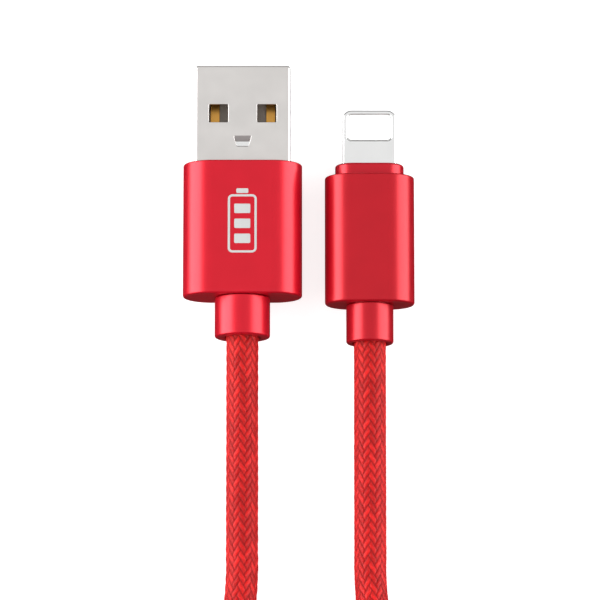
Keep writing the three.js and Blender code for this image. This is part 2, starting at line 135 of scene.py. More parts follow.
class Shader(Nodes):
    """A Principled material."""

    def __init__(self, name, colour, roughness, **settings):
        self.material = bpy.data.materials.new(name)
        self.material.use_nodes = True
        super().__init__(self.material.node_tree)
        self.surface = self.tree.nodes["Principled BSDF"]
        self.surface.inputs["Base Color"].default_value = (*colour, 1)
        self.surface.inputs["Roughness"].default_value = roughness
        for socket, value in settings.items():
            self.surface.inputs[socket.replace("_", " ")].default_value = value

    def place(self):
        """The piece's own coordinates, in metres."""
        return self.node("TexCoord").outputs["Object"]

    def noise(self, size, detail=2.0, roughness=0.5):
        """Noise from 0 to 1 whose features are about size millimetres across."""
        inputs = {
            "Vector": self.place(),
            "Scale": 1 / (size * MM),
            "Detail": detail,
            "Roughness": roughness,
        }
        return self.node("TexNoise", inputs).outputs["Fac"]

    def mixed(self, factor, colour_a, colour_b):
        made = self.node("Mix", data_type="RGBA")
        self.feed(made.inputs[0], factor)
        for socket, colour in ((6, colour_a), (7, colour_b)):
            value = colour if isinstance(colour, bpy.types.NodeSocket) else (*colour, 1)
            self.feed(made.inputs[socket], value)
        return made.outputs[2]

    def bump(self, height, depth, strength=1.0):
        """Raises the surface by height, where 1 is depth millimetres."""
        made = self.node("Bump", {"Height": height, "Distance": depth * MM, "Strength": strength})
        self.feed(self.surface.inputs["Normal"], made.outputs["Normal"])

    def colour(self, value):
        self.feed(self.surface.inputs["Base Color"], value)

    def roughness(self, value):
        self.feed(self.surface.inputs["Roughness"], value)


def brushed(shader, across, along):
    """Coordinates stretched along Y, so that noise read through them makes lines that run the plug's way."""
    stretch = {"Vector": shader.place(), "Scale": (1 / (across * MM), 1 / (along * MM), 1 / (across * MM))}
    return shader.node("Mapping", stretch, vector_type="POINT").outputs["Vector"]


def anodised_aluminium(name, depth):
    """Dyed, bead-blasted aluminium: a satin red with a fine grain and a clear outer skin."""
    skin = {"Coat_Weight": 0.35, "Coat_Roughness": 0.26}
    shader = Shader(name, depth, 0.32, Metallic=0.5, Specular_IOR_Level=0.25, **skin)
    grain = shader.noise(0.09, 3.0)
    cloud = shader.noise(3.5, 2.0)
    shader.colour(shader.mixed(cloud, [c * 0.95 for c in depth], [c * 1.06 for c in depth]))
    unevenness = shader.math("ADD", shader.math("MULTIPLY", grain, 0.5), cloud)
    shader.roughness(shader.ranged(unevenness, 0.26, 0.38))
    shader.bump(grain, 0.0035)
    return shader.material


def nickel_steel(name, tone):
    """Nickel-plated sheet with rolling lines along it and a faint handling haze."""
    shader = Shader(name, tone, 0.33, Metallic=1.0)
    rolled = {"Vector": brushed(shader, 0.06, 4.0), "Scale": 1.0, "Detail": 2.0}
    lines = shader.node("TexNoise", rolled).outputs["Fac"]
    haze = shader.noise(2.5, 3.0)
    shader.colour(shader.mixed(haze, [c * 0.97 for c in tone], [c * 1.04 for c in tone]))
    shader.roughness(shader.ranged(haze, 0.27, 0.4))
    shader.bump(lines, 0.0012)
    return shader.material


def polished_metal(name):
    """The bright, tumbled metal of the narrow tab."""
    shader = Shader(name, (0.9, 0.9, 0.9), 0.2, Metallic=1.0)
    haze = shader.noise(1.6, 3.0)
    shader.roughness(shader.ranged(haze, 0.13, 0.27))
    shader.colour(shader.mixed(haze, (0.88, 0.88, 0.875), (0.93, 0.93, 0.925)))
    shader.bump(shader.noise(0.15, 2.0), 0.0006)
    return shader.material


def gold_plate():
    shader = Shader("gold_plate", (0.83, 0.52, 0.16), 0.3, Metallic=1.0)
    wear = shader.noise(0.4, 3.0)
    shader.colour(shader.mixed(wear, (0.6, 0.3, 0.06), (0.72, 0.38, 0.09)))
    shader.roughness(shader.ranged(wear, 0.22, 0.42))
    return shader.material


def moulded_plastic(name, colour, roughness=0.45):
    """Moulded plastic with a fine spark-eroded grain and a slight mottle."""
    shader = Shader(name, colour, roughness)
    mottle = shader.noise(0.8, 2.0)
    darker = [c * 0.9 for c in colour]
    lighter = [min(1.0, c * 1.08) for c in colour]
    shader.colour(shader.mixed(mottle, darker, lighter))
    shader.roughness(shader.ranged(mottle, roughness - 0.06, roughness + 0.08))
    shader.bump(shader.noise(0.12, 2.0), 0.003)
    return shader.material


BRAID = {
    "columns": 16,
    "pitch": 1.25,
    "slant": 0.82,
    "depth": 0.13,
    "weave": 0.14,
    "closing": 4.0,
    "pinch": 0.8,
    "crown": 0.45,
    "level": 0.8,
    "filaments": 3,
}


def braided_nylon():
    """Slanted floats of red filament, laid out by the cord's own map: columns round it, picks along it."""
    shader = Shader("braided_nylon", (0.5, 0.006, 0.006), 0.5, Specular_IOR_Level=0.16)
    turns = shader.node("SeparateXYZ", {0: shader.node("UVMap", uv_map="braid").outputs["UV"]})
    sway = shader.math("SINE", shader.math("MULTIPLY", turns.outputs["Y"], 2 * math.pi))
    swayed = shader.math("ADD", turns.outputs["X"], shader.math("MULTIPLY", sway, BRAID["weave"]))
    place = shader.math("FLOORED_MODULO", swayed, float(BRAID["columns"]))
    column = shader.math("FLOOR", place)
    across = shader.math("SUBTRACT", place, column)
    side = shader.math("SUBTRACT", 1.0, shader.math("MULTIPLY", 2.0, shader.math("MODULO", column, 2.0)))
    lean = shader.math("MULTIPLY", side, BRAID["slant"] / BRAID["pitch"])
    shift = shader.math("MULTIPLY", lean, shader.math("SUBTRACT", across, 0.5))
    along = shader.math("SUBTRACT", turns.outputs["Y"], shift)
    pick = shader.math("ADD", along, shader.math("MULTIPLY", column, 0.5))
    number = shader.math("FLOOR", pick)
    within = shader.math("SUBTRACT", pick, number)
    crown = shader.math("SINE", shader.math("MULTIPLY", within, math.pi))
    end = shader.math("ABSOLUTE", shader.math("SUBTRACT", shader.math("MULTIPLY", across, 2.0), 1.0))
    closed = shader.math("MULTIPLY", BRAID["pinch"], shader.math("POWER", end, BRAID["closing"]))
    open_end = shader.math("SUBTRACT", 1.0, closed)
    height = shader.math("MULTIPLY", shader.math("POWER", crown, BRAID["crown"]), open_end)
    tag = shader.node("CombineXYZ", {0: column, 1: number}).outputs[0]
    tone = shader.node("TexWhiteNoise", {"Vector": tag}).outputs["Value"]
    wander = shader.math("MULTIPLY", shader.noise(0.35, 2.0), 0.35)
    spread = shader.math("ADD", within, wander)
    filament = shader.math("SINE", shader.math("MULTIPLY", spread, 2 * math.pi * BRAID["filaments"]))
    strand = shader.mixed(tone, (0.38, 0.003, 0.003), (0.62, 0.012, 0.011))
    # The colour falls to near-black red in the grooves between floats, at their pinched ends, and a little
    # between filaments: painted shade.
    painted_crown_light = shader.math("MULTIPLY", shader.ranged(filament, 0.86, 1.03), height)
    shader.colour(shader.mixed(painted_crown_light, (0.13, 0.0006, 0.001), strand))
    shader.roughness(shader.ranged(height, 0.7, 0.42))
    raised = shader.math("ADD", shader.math("MULTIPLY", filament, 0.2), shader.math("MULTIPLY", height, 0.8))
    shader.bump(raised, 0.045)
    return shader.material


def hook_and_loop():
    """Dark strap fabric: a napped weave with soft fibre noise."""
    shader = Shader("hook_and_loop", (0.02, 0.02, 0.023), 0.95, Sheen_Weight=0.06, Specular_IOR_Level=0.15)
    nap = shader.noise(0.22, 4.0, roughness=0.7)
    threads = {"Vector": shader.place(), "Scale": 1 / (0.45 * MM)}
    weave = shader.node("TexVoronoi", threads).outputs["Distance"]
    shader.colour(shader.mixed(nap, (0.006, 0.006, 0.008), (0.03, 0.03, 0.034)))
    shader.bump(shader.math("ADD", nap, shader.math("MULTIPLY", weave, 0.6)), 0.12)
    return shader.material


def pale_paint():
    """The silver-white printing ink of the pictogram."""
    shader = Shader("silver_ink", (0.42, 0.425, 0.42), 0.5, Metallic=0.1, Specular_IOR_Level=0.2)
    speckle = shader.noise(0.1, 2.0)
    shader.colour(shader.mixed(speckle, (0.39, 0.395, 0.39), (0.45, 0.455, 0.45)))
    return shader.material


# ---------------------------------------------------------------- meshes
def add_piece(name, points, faces, material, nodes=(), sharp=32, weld=True):
    """A new piece from points in millimetres. It rides on the object and stands for the CAD nodes."""
    mesh = bpy.data.meshes.new(name)
    mesh.from_pydata(np.asarray(points, float) * MM, [], faces)
    if weld:
        tidy = bmesh.new()
        tidy.from_mesh(mesh)
        bmesh.ops.remove_doubles(tidy, verts=tidy.verts, dist=1e-7)
        bmesh.ops.recalc_face_normals(tidy, faces=tidy.faces)
        tidy.to_mesh(mesh)
        tidy.free()
    mesh.shade_smooth()
    mesh.set_sharp_from_angle(angle=math.radians(sharp))
    mesh.materials.append(material)
    piece = bpy.data.objects.new(name, mesh)
    if weld:
        flat_faces = piece.modifiers.new("flat_faces", "WEIGHTED_NORMAL")
        flat_faces.keep_sharp = True
        flat_faces.weight = 80
    bpy.context.scene.collection.objects.link(piece)
    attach(piece, "root")
    if nodes:
        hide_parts(*nodes)
    return piece


def band_faces(rings, around, closed):
    """Quads between rings of the same number of points, the last ring meeting the first when closed."""
    step = np.arange(around)
    after = (step + 1) % around
    faces = []
    for ring in range(rings if closed else rings - 1):
        here, there = ring * around, ((ring + 1) % rings) * around
        faces.append(np.stack([here + step, here + after, there + after, there + step], axis=1))
    return np.concatenate(faces)


def outline(width, height, corner, across=None, arc=10):
    """A rounded rectangle as the centre and direction of each of its points, so that it can be drawn inwards.
    across lists where the points of its long sides lie; its short sides, when it has them, get three each."""
    reach, rise = width / 2 - corner, height / 2 - corner
    if across is None:
        across = [reach - 0.04, reach / 2, 0, -reach / 2, -reach + 0.04]
    upright = [-rise * 0.96, 0, rise * 0.96]
    centres, angles = [], []
    for x, z, start in ((reach, -rise, -90), (reach, rise, 0), (-reach, rise, 90), (-reach, -rise, 180)):
        if start == 0:
            centres += [(reach, u) for u in upright]
            angles += [0] * len(upright)
        if start == 90:
            centres += [(u, rise) for u in across]
            angles += [90] * len(across)
        if start == 180:
            centres += [(-reach, -u) for u in upright]
            angles += [180] * len(upright)
        centres += [(x, z)] * (arc + 1)
        angles += list(np.linspace(start, start + 90, arc + 1))
    centres += [(-u, -rise) for u in across]
    angles += [270] * len(across)
    turned = np.radians(angles)
    return {
        "centres": np.array(centres, float),
        "directions": np.stack([np.cos(turned), np.sin(turned)], axis=1),
        "corner": corner,
    }


def drawn_in(shape, depth):
    """The outline moved inwards by depth."""
    return shape["centres"] + (shape["corner"] - depth) * shape["directions"]


def round_hole(shape, radius):
    """A circle whose points lie in line with the outline's own."""
    points = drawn_in(shape, 0)
    return radius * points / np.linalg.norm(points, axis=1)[:, None]


def at(flat, y, axis):
    """An outline stood up across Y, about a plug's axis."""
    return np.stack([flat[:, 0] + axis[0], np.full(len(flat), y), flat[:, 1] + axis[1]], axis=1)


def fillet(edge, steps=7):
    """Depth in from the side and depth down from the end of each step round an edge, from side to end."""
    turn = np.linspace(0, math.pi / 2, steps)
    return [(edge * (1 - math.cos(t)), edge * (1 - math.sin(t))) for t in turn]


def ring_solid(name, rings, material, nodes=()):
    """A closed, hollow solid from rings that run along its outside and back along its inside."""
    faces = band_faces(len(rings), len(rings[0]), closed=True)
    return add_piece(name, np.concatenate(rings), faces, material, nodes)


HOLD = 0.05  # how far a supporting ring lies from the edge that it keeps crisp


def make_housing(name, node, size, axis, neck, material):
    """A metal case with a flat-sided oval section, open at the front and closed by a wall behind."""
    shape = outline(size["width"], size["height"], size["height"] / 2, arc=16)
    front, rear, edge, wall = size["front"], size["rear"], size["edge"], size["wall"]
    lip = min(0.2, wall / 2)
    rings = [at(drawn_in(shape, 0), y, axis) for y in (rear + edge + HOLD, front - lip - HOLD)]
    rings += [at(drawn_in(shape, depth), front - down, axis) for depth, down in fillet(lip)]
    rings += [at(drawn_in(shape, wall - 0.03), front, axis)]
    rings += [at(drawn_in(shape, wall), y, axis) for y in (front - 0.03, rear + REAR_WALL)]
    rings += [at(round_hole(shape, neck / 2 + 0.1), y, axis) for y in (rear + REAR_WALL, rear)]
    rings += [at(drawn_in(shape, edge + HOLD), rear, axis)]
    rings += [at(drawn_in(shape, depth), rear + down, axis) for depth, down in reversed(fillet(edge))]
    return ring_solid(name, rings, material, [node])


def make_collar(name, node, size, axis, material):
    """A turned collar whose neck goes through the housing's rear wall."""
    shape = outline(size["diameter"], size["diameter"], size["diameter"] / 2, arc=14)
    front, rear, edge, neck = size["front"], size["rear"], size["edge"], size["neck"] / 2
    rings = [at(drawn_in(shape, 0), y, axis) for y in (rear + edge + HOLD, front - 0.1 - HOLD)]
    rings += [at(drawn_in(shape, depth), front - down, axis) for depth, down in fillet(0.1, 4)]
    rings += [at(round_hole(shape, neck), y, axis) for y in (front, front + NECK_REACH)]
    rings += [at(round_hole(shape, BORE / 2), y, axis) for y in (front + NECK_REACH, rear + 0.15)]
    rings += [at(round_hole(shape, BORE / 2 + 0.15), rear, axis)]
    rings += [at(drawn_in(shape, edge + HOLD), rear, axis)]
    rings += [at(drawn_in(shape, depth), rear + down, axis) for depth, down in reversed(fillet(edge))]
    return ring_solid(name, rings, material, [node])


def make_nose(material):
    """The moulding inside the narrow plug's case. Its front stands proud as the nose that holds the tab."""
    wall = PIN_HOUSING["wall"] + 0.05
    width, height = PIN_HOUSING["width"] - 2 * wall, PIN_HOUSING["height"] - 2 * wall
    body = outline(width, height, PIN_HOUSING["height"] / 2 - wall)
    nose = outline(PIN_NOSE["width"], PIN_NOSE["height"], PIN_NOSE["height"] / 2)
    seat = outline(PIN_TAB["width"] + 0.1, PIN_TAB["thickness"] + 0.1, 0.1)
    shoulder, front, edge, rear = PIN_HOUSING["front"], PIN_NOSE["front"], PIN_NOSE["edge"], PIN_TAB["rear"]
    rings = [at(drawn_in(body, 0), y, PIN_AXIS) for y in (rear, shoulder)]
    rings += [at(drawn_in(nose, 0), y, PIN_AXIS) for y in (shoulder, shoulder + HOLD, front - edge - HOLD)]
    rings += [at(drawn_in(nose, depth), front - down, PIN_AXIS) for depth, down in fillet(edge)]
    rings += [at(drawn_in(nose, edge + HOLD), front, PIN_AXIS)]
    rings += [at(drawn_in(seat, 0), y, PIN_AXIS) for y in (front, rear)]
    return ring_solid("pin_nose_mould", rings, material, ["pin_inner_mould"])


LEAD_IN = [0.0, 0.06, 0.14, 0.24, 0.36, 0.5]  # depths from the tip of the rings round the shell's mouth
PINCH = (0.34, 0.1)  # how far the mouth's sides and its top and bottom are drawn in


def shell_outline():
    """The shell's section, with points where the sides of its cut-outs run."""
    reach = USB_SHELL["width"] / 2 - USB_SHELL["fold"]
    half = [reach - 0.04, USB_WINDOW["outer"], USB_WINDOW["inner"], USB_LANCE["front"]]
    across = half + [0] + [-x for x in reversed(half)]
    return outline(USB_SHELL["width"], USB_SHELL["height"], USB_SHELL["fold"], across)


def cut_out(size):
    """Where a cut-out starts and ends, as depths from the tip."""
    return size["from_tip"], size["from_tip"] + size["length"]


def shell_ring(shape, inset, depth):
    """The section at a depth from the tip, drawn in where the mouth leads in."""
    turn = max(0.0, 1 - depth / LEAD_IN[-1])
    pinch = np.array(PINCH) * (1 - math.sqrt(1 - turn**2))
    flat = drawn_in(shape, inset)
    if depth == cut_out(USB_LANCE)[1]:
        on_lance = np.isclose(np.abs(flat[:, 0]), USB_LANCE["front"])
        flat[on_lance, 0] *= USB_LANCE["rear"] / USB_LANCE["front"]
    flat = flat - np.sign(flat) * pinch * np.minimum(1, np.abs(flat) / USB_SHELL["fold"])
    return at(flat, USB_TIP - depth, USB_AXIS)


def shell_openings(shape, depths):
    """The faces that the cut-outs leave out, each as its row along the shell and its place round it."""
    around = len(shape["centres"])
    middle = shape["centres"] + (np.roll(shape["centres"], -1, axis=0) - shape["centres"]) / 2
    level = np.abs(shape["directions"][:, 1]) > 0.99
    is_open = set()
    for k in range(around):
        x = abs(middle[k][0])
        if not (level[k] and level[(k + 1) % around]):
            continue
        if USB_WINDOW["inner"] < x < USB_WINDOW["outer"]:
            is_open.add((depths.index(cut_out(USB_WINDOW)[0]), k))
        if x < USB_LANCE["front"] and middle[k][1] > 0:
            is_open.add((depths.index(cut_out(USB_LANCE)[0]), k))
    return is_open


def shell_faces(rows, around, is_open):
    """Faces of both sides of the sheet, of the walls of its cut-outs, and of its two ends."""
    count = rows * around
    last = count - around
    faces = []
    for row in range(rows - 1):
        here, there = row * around, (row + 1) * around
        for k in range(around):
            after = (k + 1) % around
            corners = [here + k, here + after, there + after, there + k]
            if (row, k) not in is_open:
                faces += [corners, [c + count for c in reversed(corners)]]
                continue
            neighbours = [(row - 1, k), (row, after), (row + 1, k), (row, (k - 1) % around)]
            for (a, b), beside in zip(zip(corners, corners[1:] + corners[:1]), neighbours):
                if beside not in is_open:
                    faces.append([a, b, b + count, a + count])
    for k in range(around):
        after = (k + 1) % around
        faces.append([after, k, k + count, after + count])
        faces.append([last + k, last + after, last + after + count, last + k + count])
    return faces


def make_usb_shell(material):
    """The folded sheet shell: a box section with rounded folds, a lead-in at its mouth, and its cut-outs."""
    shape = shell_outline()
    depths = LEAD_IN + [0.6, *cut_out(USB_WINDOW), *cut_out(USB_LANCE), USB_SHELL["length"]]
    rings = [shell_ring(shape, inset, depth) for inset in (0, USB_SHELL["sheet"]) for depth in depths]
    faces = shell_faces(len(depths), len(shape["centres"]), shell_openings(shape, depths))
    shell = add_piece("usb_shell_sheet", np.concatenate(rings), faces, material, ["usb_shell"])
    soften(shell, window_corner=0.16, edge=0.05)


def soften(piece, window_corner, edge):
    """Rounds the corners of the cut-outs in plan, and then every hard edge."""
    work = bmesh.new()
    work.from_mesh(piece.data)
    ends = [y * MM for y in (USB_TIP - USB_SHELL["length"] + 1, USB_TIP - 1)]

    def hard(one):
        return len(one.link_faces) == 2 and one.calc_face_angle() > math.radians(35)

    def stands(one):
        """Runs straight through the sheet at a cut-out, away from the shell's two ends."""
        way = one.verts[0].co - one.verts[1].co
        upright = abs(way.z) > 0.95 * way.length and way.length < 0.4 * MM
        return upright and ends[0] < one.verts[0].co.y < ends[1]

    def bevel(edges, size, segments):
        bmesh.ops.bevel(work, geom=edges, offset=size * MM, segments=segments, profile=0.5, affect="EDGES")

    bevel([e for e in work.edges if hard(e) and stands(e)], window_corner, 3)
    bevel([e for e in work.edges if hard(e)], edge, 2)
    work.to_mesh(piece.data)
    work.free()
    piece.data.shade_smooth()
    piece.data.set_sharp_from_angle(angle=math.radians(50))


def make_lance(material, tail_painted_highlight):
    """The lance, pressed down out of the shell's top, with its tail turned level again. Its slope takes a
    darker copy of the shell's nickel as painted shade. Its level tail takes brighter polished metal as a
    painted highlight, on top of the real reflection of the ceiling off its flat.
    """
    top = USB_SHELL["height"] / 2
    front = USB_TIP - USB_LANCE["from_tip"]
    rear = front - USB_LANCE["length"]
    slope = [(front + 0.02, top), (front - 0.08, top - 0.02), (front - 0.66, top - 0.4)]
    tail = [(front - 0.72, top - 0.42), (front - 0.95, top - 0.41), (rear + 0.12, top - 0.4)]
    line = np.array(slope + tail)
    along = np.gradient(line, axis=0)
    normal = np.stack([-along[:, 1], along[:, 0]], axis=1)
    normal /= np.linalg.norm(normal, axis=1)[:, None]
    under = line + 0.22 * normal * (-1 if normal[0, 1] > 0 else 1)
    rings = []
    for y, z in [*line, *under[::-1]]:
        share = np.clip((front - y) / USB_LANCE["length"], 0, 1)
        half = USB_LANCE["front"] + (USB_LANCE["rear"] - USB_LANCE["front"]) * share - 0.03
        rings.append([(USB_AXIS[0] + x * half, y, USB_AXIS[1] + z) for x in (-1, -0.5, 0, 0.5, 1)])
    points = np.concatenate(rings)
    rows, wide = len(rings), 5
    faces = []
    for row in range(rows):
        below = (row + 1) % rows
        for k in range(wide - 1):
            faces.append([row * wide + k, row * wide + k + 1, below * wide + k + 1, below * wide + k])
    for row in range(rows // 2 - 1):
        mate = rows - 1 - row
        for k in (0, wide - 1):
            faces.append([row * wide + k, (row + 1) * wide + k, (mate - 1) * wide + k, mate * wide + k])
    lance = add_piece("usb_shell_lance", points, faces, material)
    lance.data.materials.append(tail_painted_highlight)
    # Faces of the level tail take the bright metal as a painted highlight; the slope keeps the darker steel
    # as painted shade.
    for face in lance.data.polygons:
        face.material_index = int(face.center.y < (front - 0.67) * MM)


def flat_plate(name, outlines, low, high, edge, material, nodes=()):
    """A plate from closed outlines in plan, where one inside another is a hole, with rounded edges."""
    curve = bpy.data.curves.new(name, "CURVE")
    curve.dimensions = "2D"
    curve.fill_mode = "BOTH"
    for points in outlines:
        spline = curve.splines.new("POLY")
        spline.points.add(len(points) - 1)
        spline.points.foreach_set("co", [c for x, y in points for c in (x * MM, y * MM, 0, 1)])
        spline.use_cyclic_u = True
    curve.extrude = ((high - low) / 2 - edge) * MM
    curve.bevel_depth = edge * MM
    curve.bevel_resolution = 3
    curve.offset = -edge * MM
    shape = bpy.data.objects.new(name + "_outline", curve)
    mesh = bpy.data.meshes.new_from_object(shape)
    bpy.data.objects.remove(shape)
    points = np.array([v.co for v in mesh.vertices]) / MM
    points[:, 2] += (low + high) / 2
    faces = [list(f.vertices) for f in mesh.polygons]
    bpy.data.meshes.remove(mesh)
    return add_piece(name, points, faces, material, nodes)


def rounded_plan(width, length, corner, x, y, steps=10):
    """A rounded rectangle in plan, by its size and centre."""
    points = []
    for quarter, (side, end) in enumerate(((1, -1), (1, 1), (-1, 1), (-1, -1))):
        for turn in np.radians(np.linspace(90 * quarter - 90, 90 * quarter, steps + 1)):
            centre_x, centre_y = side * (width / 2 - corner), end * (length / 2 - corner)
            points.append((x + centre_x + corner * math.cos(turn), y + centre_y + corner * math.sin(turn)))
    return points


def make_tab(material):
    """The narrow plug's metal tab, with round tip corners and a window for its contacts."""
    half, corner = PIN_TAB["width"] / 2, PIN_TAB["corner"]
    turns = np.radians(np.linspace(0, 90, 17))
    right = [(half - corner + corner * math.cos(t), PIN_TIP - corner + corner * math.sin(t)) for t in turns]
    plan = [(-half, PIN_TAB["rear"]), (half, PIN_TAB["rear"])] + right + [(-x, y) for x, y in reversed(right)]
    window_y = PIN_TIP - PIN_WINDOW["rim"] - PIN_WINDOW["length"] / 2
    hole = rounded_plan(PIN_WINDOW["width"], PIN_WINDOW["length"], PIN_WINDOW["corner"], 0, window_y)
    outlines = [[(x + PIN_AXIS[0], y) for x, y in points] for points in (plan, hole)]
    low, high = (PIN_AXIS[1] + side * PIN_TAB["thickness"] / 2 for side in (-1, 1))
    edge = PIN_TAB["edge"]
    return flat_plate("pin_tab", outlines, low, high, edge, material, ["pin_tab_frame"])


def make_pictogram(material):
    """A generic battery sign on the broad housing: a rounded frame, its terminal and three charge bars."""
    x, y, width, length, line = USB_AXIS[0], -3.0, 3.6, 7.4, 0.28
    top = USB_AXIS[1] + USB_HOUSING["height"] / 2
    terminal_y = y + length / 2 + 0.45
    outlines = [
        rounded_plan(width, length, 0.6, x, y),
        rounded_plan(width - 2 * line, length - 2 * line, 0.3, x, y),
        rounded_plan(1.5, 0.6, 0.15, x, terminal_y, 4),
    ]
    outlines += [rounded_plan(2.0, 1.2, 0.15, x, y + step * 1.9, 4) for step in (-1, 0, 1)]
    low, high = top - 0.02, top + 0.025
    return flat_plate("usb_housing_pictogram", outlines, low, high, 0.01, material)


# ---------------------------------------------------------------- cord
def hank_strands(steps=20):
    """The hank's centreline. Each pass runs down the left side, round the bottom loop, up the right side and
    over the top loop. Passes change places round the bottom loops, which stand out by their own amounts."""
    inner, outer = HANK["radius"], HANK["radius"] + HANK["pitch"]
    passes = [(outer, 0), (inner, 0), (inner, 1), (outer, 1), (outer, 2), (outer, 0)]
    stand_out = [0.0, -2.0, 0.0, 2.0, 6.3]
    top = HANK["top"]
    bottom = top - HANK["run"]
    middle = (top + bottom) / 2

    def on_run(side, radius, y, z):
        reach = abs(y - middle) / WAIST["reach"]
        drawn = (1 + math.cos(2 * math.pi * reach)) / 2 if reach < 0.5 else 0
        return (HANK["x"] + side * (radius - WAIST["depth"] * drawn), y, z + HANK["lift"] * drawn)

    points = []
    turns = np.linspace(0, math.pi, steps, endpoint=False)
    for number, out in enumerate(stand_out):
        (radius, layer), (next_radius, next_layer) = passes[number], passes[number + 1]
        low, high = (CORD_DIAMETER / 2 + HANK["layer"] * level for level in (layer, next_layer))
        last = number == len(stand_out) - 1
        points += [on_run(-1, radius, y, low) for y in np.linspace(top, bottom - out, steps, endpoint=False)]
        middle_x, loop = HANK["x"] + (next_radius - radius) / 2, (radius + next_radius) / 2
        for turn in turns:
            z = low + (high - low) * (1 - math.cos(turn)) / 2
            points.append((middle_x - loop * math.cos(turn), bottom - out - loop * math.sin(turn), z))
        climb = np.linspace(bottom - out, top, steps, endpoint=last)
        points += [on_run(1, next_radius, y, high) for y in climb]
        if not last:
            points += [
                (HANK["x"] + next_radius * math.cos(turn), top + next_radius * math.sin(turn), high)
                for turn in turns
            ]
    return points


def smooth_line(points, steps=12):
    """A Catmull-Rom curve through the points."""
    knots = np.array(points, float)
    knots = np.vstack([2 * knots[0] - knots[1], knots, 2 * knots[-1] - knots[-2]])
    t = np.linspace(0, 1, steps, endpoint=False)[:, None]
    parts = []
    for a, b, c, d in zip(knots, knots[1:], knots[2:], knots[3:]):
        square, cube = 2 * a - 5 * b + 4 * c - d, 3 * b - a - 3 * c + d
        parts.append(0.5 * (2 * b + (c - a) * t + square * t**2 + cube * t**3))
    return np.vstack(parts + [knots[-2:-1]])


def line_at(line, travelled, stations):
    return np.stack([np.interp(stations, travelled, line[:, k]) for k in range(3)], axis=1)


def braid_height(column_place, pick_place, chance):
    """How high the braid stands, 0 in a groove and 1 on a float's crown."""
    place = (column_place + BRAID["weave"] * np.sin(2 * math.pi * pick_place)) % BRAID["columns"]
    column = np.floor(place)
    across = place - column
    side = np.where(column % 2 == 0, 1, -1)
    pick = pick_place - side * BRAID["slant"] / BRAID["pitch"] * (across - 0.5) + 0.5 * column
    number = np.floor(pick)
    crown = np.sin(math.pi * (pick - number)) ** BRAID["crown"]
    ends = 1 - BRAID["pinch"] * np.abs(2 * across - 1) ** BRAID["closing"]
    drawn = chance[column.astype(int) % BRAID["columns"], number.astype(int) % chance.shape[1]]
    return crown * ends * (0.8 + 0.2 * drawn)


def braided_rings(line, travelled, stations, around, chance):
    """One stretch of the braid: a ring of points at each station along the cord."""
    centre = line_at(line, travelled, stations)
    ahead = line_at(line, travelled, stations + 0.3) - line_at(line, travelled, stations - 0.3)
    ahead /= np.linalg.norm(ahead, axis=1)[:, None]
    sideways = np.cross(ahead, UP)
    sideways /= np.linalg.norm(sideways, axis=1)[:, None]
    upward = np.cross(sideways, ahead)
    roll = np.radians(9 + 11 * stations / travelled[-1])
    turn = np.linspace(0, 2 * math.pi, around, endpoint=False)[None, :] + roll[:, None]
    place = np.arange(around) * BRAID["columns"] / around
    high = braid_height(place[None, :], (stations / BRAID["pitch"])[:, None], chance)
    radius = CORD_DIAMETER / 2 + BRAID["depth"] * (high - BRAID["level"])
    out = np.cos(turn)[..., None] * upward[:, None, :] + np.sin(turn)[..., None] * sideways[:, None, :]
    return (centre[:, None, :] + radius[..., None] * out).reshape(-1, 3)


def braided_map(stations, around):
    """The map at each corner of that stretch's faces: columns round the cord, and picks along it."""
    place = np.arange(around) * BRAID["columns"] / around
    after = place + BRAID["columns"] / around
    picks = stations / BRAID["pitch"]
    corners = np.empty((len(stations) - 1, around, 4, 2))
    corners[..., 0] = np.stack([place, after, after, place], axis=1)[None]
    corners[..., 1] = np.stack([picks[:-1], picks[:-1], picks[1:], picks[1:]], axis=1)[:, None]
    return corners.reshape(-1, 2).tolist()


CORD_MESH = {"lead": 42.0, "lead_step": 0.155, "lead_sides": 96, "hank_step": 0.42, "hank_sides": 48}


def make_cord(material):
    """The whole cord as one braided tube, finely meshed near the plugs and more plainly in the hank."""
    line = smooth_line(USB_LEAD + hank_strands() + PIN_LEAD[::-1])
    travelled = np.concatenate([[0], np.cumsum(np.linalg.norm(np.diff(line, axis=0), axis=1))])
    total, lead = travelled[-1], CORD_MESH["lead"]
    near = np.arange(0, lead, CORD_MESH["lead_step"])
    hank = np.linspace(lead, total - lead, int((total - 2 * lead) / CORD_MESH["hank_step"]))
    fine, plain = CORD_MESH["lead_sides"], CORD_MESH["hank_sides"]
    chance = np.random.default_rng(7).random((BRAID["columns"], 97))
    points, faces, maps = [], [], []
    start = 0
    previous = None
    for stations, around in ((near, fine), (hank, plain), (total - near[::-1], fine)):
        points.append(braided_rings(line, travelled, stations, around, chance))
        if previous is not None:
            faces += seam_faces(previous, (start, around))
            maps += seam_maps(previous[1], around, stations[0] / BRAID["pitch"])
        faces += (band_faces(len(stations), around, closed=False) + start).tolist()
        maps += braided_map(stations, around)
        previous = (start + (len(stations) - 1) * around, around)
        start += len(stations) * around
    for ring, flip in ((0, True), (previous[0], False)):
        cap = list(range(ring, ring + fine))
        faces.append(cap[::-1] if flip else cap)
        maps += [(0.5, 0.5)] * fine
    piece = add_piece(
        "charging_cord",
        np.concatenate(points),
        faces,
        material,
        ["cord_usb_lead", "cord_pin_lead", "cord_hank"],
        sharp=180,
        weld=False,
    )
    layer = piece.data.uv_layers.new(name="braid")
    layer.data.foreach_set("uv", np.array(maps, np.float32).ravel())
    return piece, line_at(line, travelled, np.linspace(0, total, 1200)) * MM


def seam_faces(before, after):
    """Five-sided faces where a ring meets one with half or twice as many points."""
    (first, many), (second, few) = (before, after) if before[1] > after[1] else (after, before)
    faces = []
    for k in range(few):
        fine = [first + (2 * k + step) % many for step in range(3)]
        coarse = [second + k, second + (k + 1) % few]
        face = fine + coarse[::-1]
        faces.append(face if before[1] > after[1] else face[::-1])
    return faces


